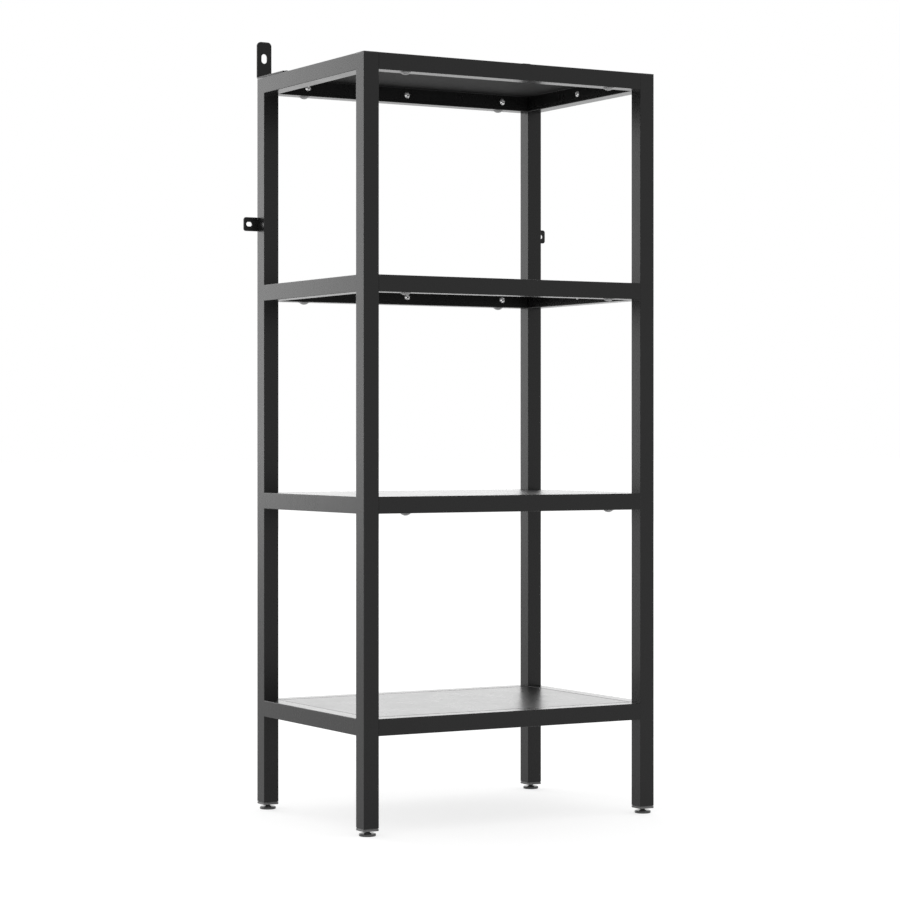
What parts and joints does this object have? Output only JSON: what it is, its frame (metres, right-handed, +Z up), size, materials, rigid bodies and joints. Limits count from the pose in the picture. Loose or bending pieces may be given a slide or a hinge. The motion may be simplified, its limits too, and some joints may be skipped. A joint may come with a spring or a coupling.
{
  "type": "shelving rack",
  "caption": "Free-standing square-tube storage rack with flush sheet-metal shelves, levelling feet and wall-fixing brackets.",
  "frame": {"origin": "on the floor, in the middle of the rack's plan with its wall plates", "axes": "+Z up, +X to the right seen from the front, +Y to the wall"},
  "size_m": [0.665, 0.429, 1.442],
  "materials": {
    "frame_coat": "satin black powder coat",
    "panel_coat": "satin black powder coat",
    "bracket_coat": "semi-matte black coat",
    "bright_steel": "zinc-plated steel",
    "dark_steel": "black oxide steel",
    "plastic": "moulded black plastic",
    "grey_plastic": "moulded grey plastic",
    "plug_plastic": "moulded dark grey plastic",
    "pad_plastic": "moulded dark grey plastic"
  },
  "bodies": {
    "rack": {"post_front_left": "frame_coat", "post_cap_front_left": "plastic", "post_front_right": "frame_coat", "post_cap_front_right": "plastic", "post_rear_left": "frame_coat", "post_cap_rear_left": "plastic", "post_rear_right": "frame_coat", "post_cap_rear_right": "plastic", "front_rail_bottom": "frame_coat", "rear_rail_bottom": "frame_coat", "left_rail_bottom": "frame_coat", "right_rail_bottom": "frame_coat", "shelf_panel_bottom": "panel_coat", "panel_screws_bottom": "bright_steel", "panel_nuts_bottom": "bright_steel", "access_plugs_bottom": "grey_plastic", "front_rail_lower": "frame_coat", "rear_rail_lower": "frame_coat", "left_rail_lower": "frame_coat", "right_rail_lower": "frame_coat", "shelf_panel_lower": "panel_coat", "panel_screws_lower": "bright_steel", "panel_nuts_lower": "bright_steel", "access_plugs_lower": "grey_plastic", "front_rail_upper": "frame_coat", "rear_rail_upper": "frame_coat", "left_rail_upper": "frame_coat", "right_rail_upper": "frame_coat", "shelf_panel_upper": "panel_coat", "panel_screws_upper": "bright_steel", "panel_nuts_upper": "bright_steel", "access_plugs_upper": "grey_plastic", "front_rail_top": "frame_coat", "rear_rail_top": "frame_coat", "left_rail_top": "frame_coat", "right_rail_top": "frame_coat", "shelf_panel_top": "panel_coat", "panel_screws_top": "bright_steel", "panel_nuts_top": "bright_steel", "access_plugs_top": "grey_plastic", "joint_bolts": "bright_steel", "joint_blocks": "bright_steel", "joint_nuts": "bright_steel", "foot_nuts": "bright_steel", "bracket_nuts": "bright_steel", "foot_plugs": "plug_plastic", "wall_bracket_left": "bracket_coat", "wall_bracket_right": "bracket_coat", "wall_tab_left": "bracket_coat", "wall_tab_right": "bracket_coat", "bracket_screws": "dark_steel"},
    "pad_front_left": {"foot_pad_front_left": "pad_plastic"},
    "stud_front_left": {"foot_stud_front_left": "dark_steel"},
    "pad_front_right": {"foot_pad_front_right": "pad_plastic"},
    "stud_front_right": {"foot_stud_front_right": "dark_steel"},
    "pad_rear_left": {"foot_pad_rear_left": "pad_plastic"},
    "stud_rear_left": {"foot_stud_rear_left": "dark_steel"},
    "pad_rear_right": {"foot_pad_rear_right": "pad_plastic"},
    "stud_rear_right": {"foot_stud_rear_right": "dark_steel"}
  },
  "joints": [
    {"name": "foot_travel_front_left", "type": "slide", "parent": "rack", "child": "pad_front_left", "axis": [0, 0, -1], "range_m": [-0.0025, 0.015]},
    {"name": "stud_turn_front_left", "type": "hinge", "parent": "pad_front_left", "child": "stud_front_left", "pos_m": [-0.29, -0.1995, 0], "axis": [0, 0, -1], "range_deg": [-600, 3600]},
    {"name": "foot_travel_front_right", "type": "slide", "parent": "rack", "child": "pad_front_right", "axis": [0, 0, -1], "range_m": [-0.0025, 0.015]},
    {"name": "stud_turn_front_right", "type": "hinge", "parent": "pad_front_right", "child": "stud_front_right", "pos_m": [0.29, -0.1995, 0], "axis": [0, 0, -1], "range_deg": [-600, 3600]},
    {"name": "foot_travel_rear_left", "type": "slide", "parent": "rack", "child": "pad_rear_left", "axis": [0, 0, -1], "range_m": [-0.0025, 0.015]},
    {"name": "stud_turn_rear_left", "type": "hinge", "parent": "pad_rear_left", "child": "stud_rear_left", "pos_m": [-0.29, 0.1965, 0], "axis": [0, 0, -1], "range_deg": [-600, 3600]},
    {"name": "foot_travel_rear_right", "type": "slide", "parent": "rack", "child": "pad_rear_right", "axis": [0, 0, -1], "range_m": [-0.0025, 0.015]},
    {"name": "stud_turn_rear_right", "type": "hinge", "parent": "pad_rear_right", "child": "stud_rear_right", "pos_m": [0.29, 0.1965, 0], "axis": [0, 0, -1], "range_deg": [-600, 3600]}
  ],
  "couplings": [
    {"joint": "stud_turn_front_left", "follows": "foot_travel_front_left", "rad_per_m": 4188.8},
    {"joint": "stud_turn_front_right", "follows": "foot_travel_front_right", "rad_per_m": 4188.8},
    {"joint": "stud_turn_rear_left", "follows": "foot_travel_rear_left", "rad_per_m": 4188.8},
    {"joint": "stud_turn_rear_right", "follows": "foot_travel_rear_right", "rad_per_m": 4188.8}
  ]
}
